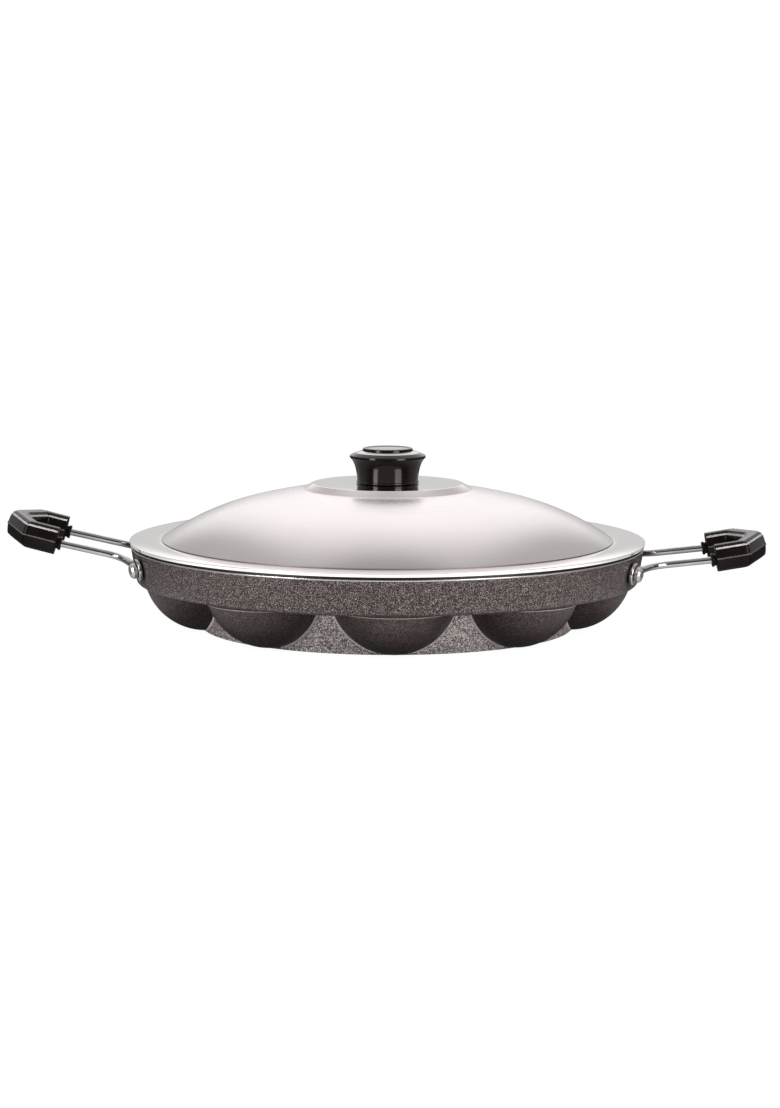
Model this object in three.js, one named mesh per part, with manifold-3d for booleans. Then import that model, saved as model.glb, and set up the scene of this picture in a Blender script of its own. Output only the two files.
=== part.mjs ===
// Paniyaram pan: a cast pan with round cavities, a domed steel lid with a moulded knob, and wire handles.
// Millimetres, +Z up. The pan stands on its base ring at z = 0, about the Z axis, with its handles along X.

import * as THREE from 'three';
import { mergeVertices } from 'three/addons/utils/BufferGeometryUtils.js';
import Module from 'manifold-3d';

const wasm = await Module();
wasm.setup();

// Pan tray
const rimRadius = 114.3;
const rimHeight = 37.15;
const wallThickness = 3;
const wallLean = 2.4;
const plateUnderside = 20.6;
const plateThickness = 3.4;
const footRound = 1.6;
const rimRound = 1.1;
const trayFillet = 2.4;

// Cavities and the bowls round them
const outerCount = 9;
const innerCount = 3;
const cavityRadius = 24.5;
const bowlWall = 3;
const bowlLift = 0.25;
const mouthRound = 0.8;
const wallLedge = 2.9;
const innerWeb = 5.3;
const cavityTurn = 2.1;

// Base ring that the pan stands on
const ringThickness = 3;
const ringLean = 1.7;
const ringProud = 0.75;
const ringEdge = 0.4;

// Lid
const lidOverhang = 0.7;
const lidSheet = 0.8;
const hemHeight = 1.45;
const hemWidth = 2.4;
const hemRound = 0.45;
const flangeWidth = 12.7;
const flangeFillet = 4;
const shoulderRadius = 121;
const crownRadius = 260;
const crownReach = 60;
const discFootRadius = 37.7;
const discRadius = 33.6;
const discRise = 2.55;

// Knob, from its base up
const knobBaseRadius = 13.6;
const knobBead = 0.35;
const knobBeadHeight = 0.9;
const knobLipRadius = 16.9;
const knobLipUnder = 10.7;
const knobLipStep = 0.5;
const knobLipBand = 0.9;
const knobTopRadius = 14.4;
const knobHeight = 14.3;
const capRadius = 11.1;
const capThickness = 2.3;
const capProud = 1.1;
const capEdge = 0.5;

// Knob fastening
const screwRadius = 2;
const screwHeadRadius = 4;
const screwHeadHeight = 2.4;
const screwReach = 7.5;
const washerRadius = 6.5;
const washerThickness = 1;
const insertWall = 2;
const insertLength = 9;

// Handle wires and rivets
const wireRadius = 1.55;
const wireHalfSpan = 20.5;
const wireBend = 14;
const wireKink = 10;
const wireGripBend = 8;
const eyeRadius = 4.9;
const eyeThickness = 1.8;
const rivetShankRadius = 2;
const rivetHeadRadius = 3.4;
const rivetHeadHeight = 2.9;
const rivetTailRadius = 3.2;
const rivetTailHeight = 1.2;

// The handles are riveted and bent by hand, so each has its own places and lengths, with angles in degrees
const leftHandle = {
  turn: Math.PI,
  rivetAngle: 18.6,
  rivetDrop: 7.55,
  legLift: 2,
  legLength: 37.5,
  legRise: 12.3,
  gripTilt: 14.3,
};
const rightHandle = {
  turn: 0,
  rivetAngle: 20.5,
  rivetDrop: 7.95,
  legLift: 0,
  legLength: 37.4,
  legRise: 6.1,
  gripTilt: 9.6,
};

// Handle grips
const gripLength = 24.7;
const gripHeight = 12.2;
const gripLift = 0.7;
const armWidth = 9.6;
const gripBevelDrop = 5;
const gripBevelInset = 3.4;
const gripChamfer = 9.7;
const noseHalf = 2.4;
const collarRadius = 3;
const collarLength = 2.2;

// Clearances
const seatGap = 0.3;
const boreGap = 0.3;

// Facets
const panFacets = 54;
const lidFacets = 42;
const bowlFacets = 16;
const bowlRings = 4;
const cornerSteps = 2;
const domeSteps = 4;
const knobFacets = 24;
const pinFacets = 12;
const wireSides = 8;
const wireSteps = 36;

// Joins and cuts spread a little past the faces that they share
const overlap = 0.5;
const mergeDistance = 1e-4;

const { degToRad, radToDeg } = THREE.MathUtils;

// Levels and radii that follow from the sizes above
const plateTop = plateUnderside + plateThickness;
const bowlRadius = cavityRadius + bowlWall;
const bowlCentre = bowlLift + bowlRadius;
const wallFoot = plateUnderside + footRound;
const wallTop = rimHeight - rimRound;
const wallSlope = wallLean / (wallTop - wallFoot);
const wallTilt = Math.atan(wallSlope);
const lidRadius = rimRadius + lidOverhang;
const lidBottom = rimHeight + seatGap;
const flangeTop = lidBottom + hemHeight;

function wallRadius(height) {
  return rimRadius - wallSlope * (wallTop - height);
}

// Points of an arc about a centre, from one angle to another, in degrees
function arc(centreR, centreZ, radius, from, to, steps) {
  const points = [];
  for (let i = 0; i <= steps; i += 1) {
    const angle = degToRad(from + (to - from) * i / steps);
    points.push([centreR + radius * Math.cos(angle), centreZ + radius * Math.sin(angle)]);
  }
  return points;
}

// A profile of [radius, height] points turned about Z
function turned(profile, facets) {
  const points = profile.map(([r, z]) => new THREE.Vector2(r, z));
  return new THREE.LatheGeometry(points, facets).rotateX(Math.PI / 2);
}

// The profile of a ring ends where it starts
function turnedRing(profile, facets) {
  return turned([...profile, profile[0]], facets);
}

function pin(radius, bottom, top) {
  return turned([[0, bottom], [radius, bottom], [radius, top], [0, top]], pinFacets);
}

function signedVolume(positions, triangles) {
  const [a, b, c] = [new THREE.Vector3(), new THREE.Vector3(), new THREE.Vector3()];
  let volume = 0;
  for (let i = 0; i < triangles.length; i += 3) {
    a.fromArray(positions, 3 * triangles[i]);
    b.fromArray(positions, 3 * triangles[i + 1]);
    c.fromArray(positions, 3 * triangles[i + 2]);
    volume += a.dot(b.cross(c)) / 6;
  }
  return volume;
}

// A closed geometry as a solid that can be joined and cut
function solidOf(geometry) {
  const bare = geometry.clone();
  bare.deleteAttribute('normal');
  bare.deleteAttribute('uv');
  const merged = mergeVertices(bare, mergeDistance);
  const corners = merged.index.array;
  const positions = merged.getAttribute('position').array;
  const triangles = [];
  for (let i = 0; i < corners.length; i += 3) {
    const [a, b, c] = [corners[i], corners[i + 1], corners[i + 2]];
    if (a !== b && b !== c && c !== a) triangles.push(a, b, c);
  }
  if (signedVolume(positions, triangles) < 0) triangles.reverse();
  return new wasm.Manifold(new wasm.Mesh({
    numProp: 3,
    vertProperties: Float32Array.from(positions),
    triVerts: Uint32Array.from(triangles),
  }));
}

function geometryOf(solid) {
  const mesh = solid.getMesh();
  const geometry = new THREE.BufferGeometry();
  geometry.setAttribute('position', new THREE.BufferAttribute(mesh.vertProperties, 3));
  geometry.setIndex(new THREE.BufferAttribute(mesh.triVerts, 1));
  geometry.computeVertexNormals();
  return geometry;
}

// Materials
const coating = new THREE.MeshStandardMaterial({ color: 0x4b4442, roughness: 0.45, metalness: 0.6 });
const polishedSteel = new THREE.MeshStandardMaterial({ color: 0xd3cecc, roughness: 0.14, metalness: 1 });
const brightWire = new THREE.MeshStandardMaterial({ color: 0xc4c1c0, roughness: 0.18, metalness: 1 });
const plainSteel = new THREE.MeshStandardMaterial({ color: 0xa9a8a8, roughness: 0.35, metalness: 1 });
const rivetMetal = new THREE.MeshStandardMaterial({ color: 0xb0aaa8, roughness: 0.3, metalness: 1 });
const moulding = new THREE.MeshStandardMaterial({ color: 0x161312, roughness: 0.25, metalness: 0 });
const capFinish = new THREE.MeshStandardMaterial({ color: 0x8b8583, roughness: 0.3, metalness: 0.8 });
const brass = new THREE.MeshStandardMaterial({ color: 0xb58a42, roughness: 0.35, metalness: 1 });

function named(name, solid, material) {
  const mesh = new THREE.Mesh(geometryOf(solid), material);
  mesh.name = name;
  return mesh;
}

// Rivet places: a frame on the outer face of the wall, with its Z axis along the outward normal
function rivetFrame(handle, side) {
  const azimuth = degToRad(side * handle.rivetAngle);
  const height = rimHeight - handle.rivetDrop;
  const r = wallRadius(height);
  const outward = new THREE.Vector3(
    Math.cos(wallTilt) * Math.cos(azimuth),
    Math.cos(wallTilt) * Math.sin(azimuth),
    -Math.sin(wallTilt),
  );
  const place = new THREE.Vector3(r * Math.cos(azimuth), r * Math.sin(azimuth), height);
  const turn = new THREE.Quaternion().setFromUnitVectors(new THREE.Vector3(0, 0, 1), outward);
  return new THREE.Matrix4().compose(place, turn, new THREE.Vector3(1, 1, 1));
}

function rivetHole(handle, side, bottom, top) {
  const hole = pin(rivetShankRadius + boreGap, bottom - overlap, top + overlap);
  return hole.applyMatrix4(rivetFrame(handle, side));
}

// Pan body: the tray, its bowls and its base ring, cut by the cavities and the rivet holes
function trayProfile() {
  const innerFoot = plateTop + trayFillet;
  const innerFootRadius = wallRadius(innerFoot) - wallThickness;
  const innerRimRadius = rimRadius - wallThickness;
  return [
    [0, plateUnderside],
    ...arc(wallRadius(wallFoot) - footRound, wallFoot, footRound, -90, 0, cornerSteps),
    ...arc(rimRadius - rimRound, wallTop, rimRound, 0, 90, cornerSteps),
    ...arc(innerRimRadius + rimRound, wallTop, rimRound, 90, 180, cornerSteps),
    ...arc(innerFootRadius - trayFillet, innerFoot, trayFillet, 0, -90, cornerSteps),
    [0, plateTop],
  ];
}

// The lower cap of a sphere about the bowl centre, from its lowest point up to a level
function capProfile(radius, level) {
  const reach = radToDeg(Math.asin(Math.min(level - bowlCentre, 0) / radius));
  return [[0, bowlCentre - radius], ...arc(0, bowlCentre, radius, -90, reach, bowlRings).slice(1)];
}

function bowl() {
  const top = plateUnderside + plateThickness / 2;
  return turned([...capProfile(bowlRadius, top), [0, top]], bowlFacets);
}

function cavity() {
  const rounded = capProfile(cavityRadius, plateTop - mouthRound);
  const mouth = rounded[rounded.length - 1][0];
  const above = plateTop + overlap;
  return turned([...rounded, [mouth + mouthRound + overlap, above], [0, above]], bowlFacets);
}

const mouthDepth = Math.max(bowlCentre - plateTop, 0);
const mouthRadius = Math.sqrt(cavityRadius ** 2 - mouthDepth ** 2);
const outerCircle = wallRadius(plateTop) - wallThickness - wallLedge - mouthRadius;
const innerCircle = (2 * mouthRadius + innerWeb) / (2 * Math.sin(Math.PI / innerCount));

// One circle of bowls runs near the wall. The other is in the middle, its bowls between pairs of outer ones
function bowlCentres() {
  const centres = [];
  const front = degToRad(cavityTurn - 90);
  for (let i = 0; i < outerCount; i += 1) {
    const angle = front + 2 * Math.PI * i / outerCount;
    centres.push([outerCircle * Math.cos(angle), outerCircle * Math.sin(angle)]);
  }
  for (let i = 0; i < innerCount; i += 1) {
    const angle = front + Math.PI / outerCount + 2 * Math.PI * i / innerCount;
    centres.push([innerCircle * Math.cos(angle), innerCircle * Math.sin(angle)]);
  }
  return centres;
}

function baseRing() {
  const foot = outerCircle + ringProud;
  const top = plateUnderside + overlap;
  return turnedRing([
    [foot - ringThickness + ringEdge, 0],
    [foot - ringEdge, 0],
    [foot, ringEdge],
    [foot + ringLean, top],
    [foot + ringLean - ringThickness, top],
    [foot - ringThickness, ringEdge],
  ], panFacets);
}

function panBody() {
  let body = solidOf(turned(trayProfile(), panFacets)).add(solidOf(baseRing()));
  for (const [x, y] of bowlCentres()) body = body.add(solidOf(bowl().translate(x, y, 0)));
  for (const [x, y] of bowlCentres()) body = body.subtract(solidOf(cavity().translate(x, y, 0)));
  for (const handle of [leftHandle, rightHandle]) {
    for (const side of [-1, 1]) {
      const hole = rivetHole(handle, side, -wallThickness, 0).rotateZ(handle.turn);
      body = body.subtract(solidOf(hole));
    }
  }
  return named('pan_body', body, coating);
}

// Lid: its flange, fillet, shoulder and crown run tangent to each other, and its disc stands on the crown
const crownEdge = Math.asin(crownReach / crownRadius);
const filletFoot = lidRadius - flangeWidth;
const shoulderEdge = Math.asin(
  (filletFoot - crownReach + shoulderRadius * Math.sin(crownEdge)) / (shoulderRadius + flangeFillet),
);
const shoulderTop = flangeTop + flangeFillet * (1 - Math.cos(shoulderEdge))
  + shoulderRadius * (Math.cos(crownEdge) - Math.cos(shoulderEdge));
const crownCentre = shoulderTop - crownRadius * Math.cos(crownEdge);
const discFootHeight = crownCentre + Math.sqrt(crownRadius ** 2 - discFootRadius ** 2);
const discTop = discFootHeight + discRise;

function domeProfile() {
  const steepest = radToDeg(shoulderEdge);
  const shoulderCentreR = crownReach - shoulderRadius * Math.sin(crownEdge);
  const shoulderCentreZ = shoulderTop - shoulderRadius * Math.cos(crownEdge);
  const footAngle = radToDeg(Math.acos(discFootRadius / crownRadius));
  const edgeAngle = 90 - radToDeg(crownEdge);
  return [
    ...arc(filletFoot, flangeTop + flangeFillet, flangeFillet, -90, -90 - steepest, cornerSteps),
    ...arc(shoulderCentreR, shoulderCentreZ, shoulderRadius, 90 - steepest, edgeAngle, domeSteps).slice(1),
    ...arc(0, crownCentre, crownRadius, edgeAngle, footAngle, cornerSteps).slice(1),
    [discRadius, discTop],
    [screwRadius + boreGap, discTop],
  ];
}

function lidShell() {
  const hemInside = lidRadius - hemWidth;
  const hemCentre = lidRadius - hemRound;
  const underside = [[hemInside, flangeTop], ...domeProfile()].map(([r, z]) => [r, z - lidSheet]);
  const profile = [
    [hemInside, lidBottom],
    ...arc(hemCentre, lidBottom + hemRound, hemRound, -90, 0, cornerSteps),
    ...arc(hemCentre, flangeTop - hemRound, hemRound, 0, 90, cornerSteps),
    ...domeProfile(),
    ...underside.reverse(),
  ];
  return named('lid_shell', solidOf(turnedRing(profile, lidFacets)), polishedSteel);
}

// Knob and its fastening, each from the base of the knob up
const knobBase = discTop + seatGap;
const capSeat = knobHeight + capProud - capThickness - seatGap;
const insertRadius = screwRadius + boreGap + insertWall;
const washerTop = -seatGap - lidSheet - seatGap;
const screwHeadTop = washerTop - washerThickness - seatGap;

function lidKnob() {
  const flare = new THREE.QuadraticBezierCurve(
    new THREE.Vector2(knobBaseRadius, knobBeadHeight),
    new THREE.Vector2(knobBaseRadius + knobBead, 0.75 * knobLipUnder),
    new THREE.Vector2(knobLipRadius - knobLipStep, knobLipUnder),
  );
  const socket = insertRadius + boreGap;
  const lipFoot = knobLipUnder + knobLipStep;
  const profile = [
    [socket, 0],
    [knobBaseRadius + knobBead, 0],
    [knobBaseRadius + knobBead, knobBeadHeight / 2],
    ...flare.getPoints(domeSteps).map((point) => [point.x, point.y]),
    [knobLipRadius, lipFoot],
    [knobLipRadius, lipFoot + knobLipBand],
    [knobTopRadius, knobHeight],
    [capRadius + boreGap, knobHeight],
    [capRadius + boreGap, capSeat],
    [0, capSeat],
    [0, insertLength + seatGap],
    [socket, insertLength + seatGap],
  ];
  return named('lid_knob', solidOf(turnedRing(profile, knobFacets)), moulding);
}

function knobCap() {
  const bottom = capSeat + seatGap;
  const top = knobHeight + capProud;
  const edge = [[capRadius, bottom], [capRadius, top - capEdge], [capRadius - capEdge, top]];
  return named('knob_cap', solidOf(turned([[0, bottom], ...edge, [0, top]], knobFacets)), capFinish);
}

function knobInsert() {
  const hole = screwRadius + boreGap;
  const profile = [[hole, 0], [insertRadius, 0], [insertRadius, insertLength], [hole, insertLength]];
  return named('knob_insert', solidOf(turnedRing(profile, pinFacets)), brass);
}

function knobWasher() {
  const hole = screwRadius + boreGap;
  const bottom = washerTop - washerThickness;
  const profile = [[hole, bottom], [washerRadius, bottom], [washerRadius, washerTop], [hole, washerTop]];
  return named('knob_washer', solidOf(turnedRing(profile, pinFacets)), plainSteel);
}

function knobScrew() {
  const bottom = screwHeadTop - screwHeadHeight;
  const shoulder = screwHeadHeight / 2;
  const profile = [
    [0, bottom],
    ...arc(screwHeadRadius - shoulder, bottom + shoulder, shoulder, -90, 0, cornerSteps),
    [screwHeadRadius, screwHeadTop],
    [screwRadius, screwHeadTop],
    [screwRadius, screwReach],
    [0, screwReach],
  ];
  return named('knob_screw', solidOf(turned(profile, pinFacets)), plainSteel);
}

function lidGroup() {
  const fastening = new THREE.Group();
  fastening.position.z = knobBase;
  fastening.add(lidKnob(), knobCap(), knobInsert(), knobWasher(), knobScrew());
  const lid = new THREE.Group();
  lid.add(lidShell(), fastening);
  return lid;
}

// A path of straight runs joined by smooth bends. Each corner between the ends has the radius of its bend
function bentPath(corners) {
  const path = new THREE.CurvePath();
  let from = corners[0].point;
  for (let i = 1; i < corners.length - 1; i += 1) {
    const { point, bend } = corners[i];
    const inward = corners[i - 1].point.clone().sub(point).normalize();
    const onward = corners[i + 1].point.clone().sub(point).normalize();
    const setBack = bend / Math.tan(inward.angleTo(onward) / 2);
    const start = point.clone().addScaledVector(inward, setBack);
    const end = point.clone().addScaledVector(onward, setBack);
    path.add(new THREE.LineCurve3(from, start));
    path.add(new THREE.QuadraticBezierCurve3(start, point, end));
    from = end;
  }
  path.add(new THREE.LineCurve3(from, corners[corners.length - 1].point));
  return path;
}

function tubeAlong(path, radius) {
  const section = new THREE.Shape().absarc(0, 0, radius, 0, 2 * Math.PI);
  const settings = { steps: wireSteps, extrudePath: path, curveSegments: wireSides / 2 };
  return new THREE.ExtrudeGeometry(section, settings);
}

// Leg frame: x runs out from above the line between the eyes, up the slope of the legs, and y runs across
function legFrame(handle) {
  const eye = new THREE.Vector3(0, 0, seatGap + wireRadius).applyMatrix4(rivetFrame(handle, 1));
  const frame = new THREE.Matrix4().makeTranslation(eye.x, 0, eye.z + handle.legLift);
  frame.multiply(new THREE.Matrix4().makeRotationY(-degToRad(handle.legRise)));
  return { frame, eyeY: eye.y };
}

// Grip frame: the same from the ends of the legs, at the tilt of the grip
function gripFrame(handle) {
  const { frame } = legFrame(handle);
  const bend = new THREE.Matrix4().makeRotationY(-degToRad(handle.gripTilt - handle.legRise));
  return frame.multiply(new THREE.Matrix4().makeTranslation(handle.legLength, 0, 0)).multiply(bend);
}

// The sloping sides of the nose: how far out they are at a distance across and a depth in from their face
const gripOuter = wireHalfSpan + armWidth / 2;
const gripInner = wireHalfSpan - armWidth / 2;
const noseSlope = gripChamfer / (gripOuter - noseHalf);

function noseReach(across, depth) {
  return gripLength - noseSlope * (across - noseHalf) - depth * Math.hypot(1, noseSlope);
}

// The wire runs along the wall from each eye, bends out to the grip and follows the nose inside the grip
function wirePath(handle) {
  const { frame: legs, eyeY } = legFrame(handle);
  const grip = gripFrame(handle);
  const along = degToRad(handle.rivetAngle);
  const clear = rivetHeadRadius + boreGap;
  const startX = clear * Math.sin(along);
  const startY = eyeY - clear * Math.cos(along);
  const cornerX = (eyeY - wireHalfSpan) * Math.tan(along);
  const middle = armWidth / 2;
  const at = (frame, x, y, z) => new THREE.Vector3(x, y, z).applyMatrix4(frame);
  const half = (side) => [
    { point: at(legs, startX, side * startY, -handle.legLift), bend: 0 },
    { point: at(legs, cornerX, side * wireHalfSpan, 0), bend: wireBend },
    { point: at(grip, 0, side * wireHalfSpan, 0), bend: wireKink },
    { point: at(grip, noseReach(wireHalfSpan, middle), side * wireHalfSpan, 0), bend: wireGripBend },
  ];
  const nose = { point: at(grip, noseReach(0, middle), 0, 0), bend: wireGripBend };
  return bentPath([...half(1), nose, ...half(-1).reverse()]);
}

function handleWire(name, handle) {
  let wire = solidOf(tubeAlong(wirePath(handle), wireRadius));
  const eyeTop = seatGap + eyeThickness;
  for (const side of [-1, 1]) {
    const eye = pin(eyeRadius, seatGap, eyeTop).applyMatrix4(rivetFrame(handle, side));
    wire = wire.add(solidOf(eye)).subtract(solidOf(rivetHole(handle, side, seatGap, eyeTop)));
  }
  return named(name, wire, brightWire);
}

function rivet(name, handle, side) {
  const headFoot = seatGap + eyeThickness + seatGap;
  const tailFoot = -wallThickness - seatGap;
  const profile = [
    [0, tailFoot - rivetTailHeight],
    [rivetTailRadius - rivetTailHeight / 2, tailFoot - rivetTailHeight],
    [rivetTailRadius, tailFoot - rivetTailHeight / 2],
    [rivetTailRadius, tailFoot],
    [rivetShankRadius, tailFoot],
    [rivetShankRadius, headFoot],
    [rivetHeadRadius, headFoot],
    [rivetHeadRadius, headFoot + 0.5 * rivetHeadHeight],
    [0.8 * rivetHeadRadius, headFoot + 0.85 * rivetHeadHeight],
    [0.4 * rivetHeadRadius, headFoot + rivetHeadHeight],
    [0, headFoot + rivetHeadHeight],
  ];
  return named(name, solidOf(turned(profile, pinFacets).applyMatrix4(rivetFrame(handle, side))), rivetMetal);
}

// Grip: a blunt-nosed horseshoe with bevelled edges, a collar round each wire and a channel for the wire
function gripOutline(back) {
  const side = [[back, gripOuter], [noseReach(gripOuter, 0), gripOuter], [gripLength, noseHalf]];
  const recess = [
    [noseReach(noseHalf, armWidth), noseHalf],
    [noseReach(gripInner, armWidth), gripInner],
    [back, gripInner],
  ];
  const mirrored = (points) => points.map(([x, y]) => [x, -y]).reverse();
  return [...side, ...mirrored(side), ...mirrored(recess), ...recess];
}

function handleGrip(name, handle) {
  const outline = gripOutline(-gripBevelInset - overlap).map(([x, y]) => new THREE.Vector2(x, y));
  const body = new THREE.ExtrudeGeometry(new THREE.Shape(outline), {
    depth: gripHeight - 2 * gripBevelDrop,
    bevelThickness: gripBevelDrop,
    bevelSize: gripBevelInset,
    bevelOffset: -gripBevelInset,
    bevelSegments: 2,
  });
  body.translate(0, 0, gripLift - gripHeight / 2 + gripBevelDrop);
  const endCut = new THREE.BoxGeometry(gripLength, 4 * wireHalfSpan, 2 * gripHeight);
  endCut.translate(-gripLength / 2, 0, 0);
  let grip = solidOf(body).subtract(solidOf(endCut));
  for (const side of [-1, 1]) {
    const collar = pin(collarRadius, -collarLength, collarLength).rotateY(Math.PI / 2);
    grip = grip.add(solidOf(collar.translate(0, side * wireHalfSpan, 0)));
  }
  const placed = solidOf(geometryOf(grip).applyMatrix4(gripFrame(handle)));
  const channel = solidOf(tubeAlong(wirePath(handle), wireRadius + boreGap));
  return named(name, placed.subtract(channel), moulding);
}

function handleGroup(word, handle, front, rear) {
  const group = new THREE.Group();
  group.rotation.z = handle.turn;
  group.add(handleWire(`handle_wire_${word}`, handle));
  group.add(handleGrip(`handle_grip_${word}`, handle));
  group.add(rivet(`rivet_${word}_front`, handle, front));
  group.add(rivet(`rivet_${word}_rear`, handle, rear));
  return group;
}

const pan = new THREE.Group();
pan.add(panBody());
pan.add(lidGroup());
pan.add(handleGroup('left', leftHandle, 1, -1));
pan.add(handleGroup('right', rightHandle, -1, 1));

export default pan;
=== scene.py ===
"""Looks of the paniyaram pan: fine meshes and finishes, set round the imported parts.

Sizes are in millimetres and degrees, colours are linear, and -Y is the photograph's front.
Shapes are pairs of corner points and faces, and become metres as objects.
"""

from math import acos, asin, atan, atan2, cos, degrees, hypot, pi, radians, sin, sqrt, tan

import bmesh
import bpy
from mathutils import Matrix, Vector


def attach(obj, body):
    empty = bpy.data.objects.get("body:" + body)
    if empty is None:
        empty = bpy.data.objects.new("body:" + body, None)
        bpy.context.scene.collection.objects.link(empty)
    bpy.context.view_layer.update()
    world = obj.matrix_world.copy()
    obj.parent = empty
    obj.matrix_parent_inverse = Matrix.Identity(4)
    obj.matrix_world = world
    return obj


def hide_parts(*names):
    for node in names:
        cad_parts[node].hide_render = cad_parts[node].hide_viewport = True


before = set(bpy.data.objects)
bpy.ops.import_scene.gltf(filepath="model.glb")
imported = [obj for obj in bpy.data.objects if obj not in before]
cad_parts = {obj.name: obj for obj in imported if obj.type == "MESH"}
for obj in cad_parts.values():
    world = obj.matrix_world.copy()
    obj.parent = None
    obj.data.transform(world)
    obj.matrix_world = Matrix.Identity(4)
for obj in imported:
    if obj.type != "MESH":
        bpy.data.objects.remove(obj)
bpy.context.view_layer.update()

MM = 0.001

# Pan tray
RIM_RADIUS = 114.3
RIM_HEIGHT = 37.15
WALL_THICKNESS = 3
WALL_LEAN = 2.4
PLATE_LOW = 20.6
PLATE_THICKNESS = 3.4
FOOT_ROUND = 1.6
RIM_ROUND = 1.1
TRAY_FILLET = 2.4
# The rim is bare from here to the ledge, where it is set back under the lid's hem
BARE_FOOT = 35.75
RIM_LEDGE = 36.4
RIM_REBATE = 1.1
RIM_EDGE = 0.3
REBATE_EDGE = 0.1

# Cavities and the bowls round them
OUTER_COUNT = 9
INNER_COUNT = 3
CAVITY_RADIUS = 24.5
BOWL_WALL = 3
BOWL_LIFT = 0.25
MOUTH_ROUND = 0.9
WALL_LEDGE = 2.9
INNER_WEB = 5.3
CAVITY_TURN = 2.1
BOWL_COVE = 0.7
COVE_SINK = 0.02
BOWL_LINE_DROP = 1.15
BOWL_LINE_RADIUS = 0.28
BOWL_LINE_ARC = (-60, 75)

# Base ring, and the casting line where it meets each bowl
RING_THICKNESS = 3
RING_LEAN = 1.7
RING_PROUD = 0.75
RING_EDGE = 0.4
CREASE_RADIUS = 0.75
CREASE_FOOT = 1.3

# Lid
LID_OVERHANG = 0.7
LID_SHEET = 0.8
HEM_HEIGHT = 1.45
HEM_WIDTH = 2.4
HEM_ROUND = 0.2
HEM_LEAN = 0.45
FLANGE_WIDTH = 12.7
FLANGE_FILLET = 4
SHOULDER_RADIUS = 121
CROWN_RADIUS = 260
CROWN_REACH = 60
DISC_FOOT_RADIUS = 37.7
DISC_RADIUS = 33.6
DISC_RISE = 2.55
DISC_ROUND = 0.9
LID_STEP = 0.35
LID_STEP_ROUND = 0.05

# Knob, from its base up
KNOB_BASE_RADIUS = 13.6
KNOB_BEAD = 0.35
KNOB_BEAD_HEIGHT = 0.9
KNOB_FLARE = 0.75
KNOB_LIP_RADIUS = 16.9
KNOB_LIP_UNDER = 10.7
KNOB_LIP_STEP = 0.5
KNOB_LIP_BAND = 0.9
KNOB_TOP_RADIUS = 14.4
KNOB_HEIGHT = 14.3
KNOB_CROWN = 0.95
KNOB_ROUND = 0.18
CAP_RADIUS = 11.1
CAP_THICKNESS = 2.3
CAP_PROUD = 1.1
CAP_EDGE = 0.5
CAP_BEZEL = 1.5
CAP_DISH = 0.35

# Knob fastening
SCREW_RADIUS = 2
SCREW_HEAD_RADIUS = 4
SCREW_HEAD_HEIGHT = 2.4
SCREW_HEAD_DOME = 0.6
SCREW_REACH = 7.5
SLOT_WIDTH = 1
SLOT_LENGTH = 4.4
SLOT_DEPTH = 1.3
WASHER_RADIUS = 6.5
WASHER_THICKNESS = 1
INSERT_WALL = 2
INSERT_LENGTH = 9

# Handle wires and rivets
WIRE_RADIUS = 1.55
WIRE_HALF_SPAN = 20.5
WIRE_BEND = 14
WIRE_KINK = 10
WIRE_GRIP_BEND = 8
EYE_RADIUS = 4.9
EYE_THICKNESS = 1.8
EYE_ROUND = 0.55
EYE_NECK_HALF = 2.7
EYE_NECK_LENGTH = 9
RIVET_SHANK_RADIUS = 2
RIVET_HEAD_RADIUS = 3.4
RIVET_HEAD_HEIGHT = 2.9
RIVET_TAIL_RADIUS = 3.2
RIVET_TAIL_HEIGHT = 1.2
RIVET_TAIL_DOME = 0.6
RIVET_TAIL_EDGE = 0.1
# Corners of the head, as shares of its radius and height, with the radius that each is rounded to
RIVET_HEAD = [(1, 0, 0.25), (1, 0.5, 0.3), (0.8, 0.86, 0.7), (0.4, 1, 0.6), (0, 1, 0)]
HANDLES = {
    "left": dict(turn=180, front=1, angle=18.6, drop=7.55, lift=2, leg=37.5, rise=12.3, tilt=14.3),
    "right": dict(turn=0, front=-1, angle=20.5, drop=7.95, lift=0, leg=37.4, rise=6.1, tilt=9.6),
}

# Handle grips
GRIP_LENGTH = 24.7
GRIP_LIFT = 0.7
ARM_WIDTH = 9.6
GRIP_CHAMFER = 9.7
NOSE_HALF = 2.4
NOSE_ROUND = 3
GRIP_CORNER = 1.6
GRIP_EDGE = 0.35
COLLAR_RADIUS = 3
COLLAR_LENGTH = 2.2
COLLAR_NECK_RADIUS = 2.6
COLLAR_FLANGE = 1.1
COLLAR_EDGE = 0.25
COLLAR_FILLET = 0.15
RIDGE_HALF = 0.3
BEVEL_LEVEL = 4.64
# Corners up a grip's side from its parting ridge: inset, level, and the radius that each is rounded to
GRIP_SIDE = [
    (0, RIDGE_HALF, 0.15),
    (0.28, 0.58, 0.1),
    (0.46, 2.44, 9),
    (1, BEVEL_LEVEL, 1.2),
    (2.8, 5.8, 0.3),
    (4.4, 6.1, 0),
]

# Painted shade on the coat round the rivets, where the eyes shade the wall, by distance from points outside
# the wall
RIVET_SHADE_OUT = 4
RIVET_SHADE_INNER = 8.5
RIVET_SHADE_OUTER = 11.5
RIVET_SHADE_RAGGED = 4
RIVET_SHADE_LEVEL = 0.12

# Clearances
SEAT_GAP = 0.3
BORE_GAP = 0.3

# Mesh fineness
PAN_FACETS = 240
KNOB_FACETS = 96
BOWL_FACETS = 80
SMALL_FACETS = 48
COLLAR_FACETS = 32
WIRE_SIDES = 20
CREASE_SIDES = 8
WIRE_SPACING = 0.8
BOWL_STEPS = 28
CAVITY_STEPS = CREASE_STEPS = 26
BEND_STEPS = 24
DOME_STEPS = FLARE_STEPS = 14
TRAY_STEPS = 8
FILLET_STEPS = 6
ROUND_STEPS = 5
GRIP_STEPS = 4
SHARP_ANGLE = 32
OVERLAP = 0.5
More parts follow.
